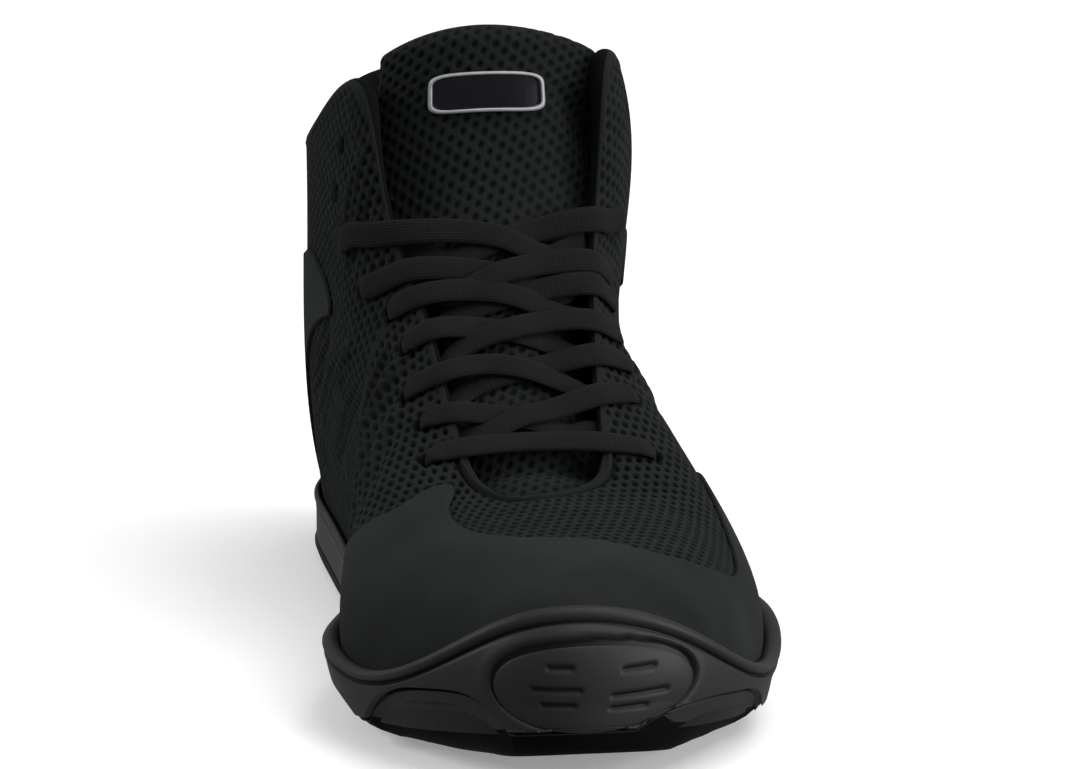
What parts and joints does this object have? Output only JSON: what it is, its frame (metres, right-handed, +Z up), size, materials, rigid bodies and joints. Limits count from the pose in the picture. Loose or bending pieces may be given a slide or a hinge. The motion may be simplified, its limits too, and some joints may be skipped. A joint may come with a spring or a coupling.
{
  "type": "boxing shoe",
  "caption": "Ankle-high boxing shoe for the left foot: mesh upper with nubuck toe cap and heel counter, padded tongue, crossed flat lace and a low rubber cup sole.",
  "frame": {"origin": "middle of the sole's outline, on the floor", "axes": "+Z up, toe towards -Y, heel towards +Y, outer side of the left foot towards +X"},
  "size_m": [0.11, 0.2968, 0.1494],
  "materials": {
    "air_mesh": "matte open spacer mesh",
    "nubuck": "matte short nap",
    "midsole_rubber": "satin",
    "outsole_rubber": "matte, fine texture",
    "lace_cotton": "matte flat weave",
    "insole_cloth": "matte",
    "badge_plastic": "gloss"
  },
  "bodies": {
    "root": {"outsole": "outsole_rubber", "midsole": "midsole_rubber", "toe_pad": "midsole_rubber", "insole": "insole_cloth", "upper": "air_mesh", "toe_cap": "nubuck", "heel_counter": "nubuck", "tongue": "air_mesh", "tongue_badge": "badge_plastic", "lace_row_1": "lace_cotton", "lace_row_2": "lace_cotton", "lace_row_3": "lace_cotton", "lace_row_4": "lace_cotton", "lace_row_5": "lace_cotton", "lace_row_6": "lace_cotton", "lace_row_7": "lace_cotton"}
  },
  "joints": []
}
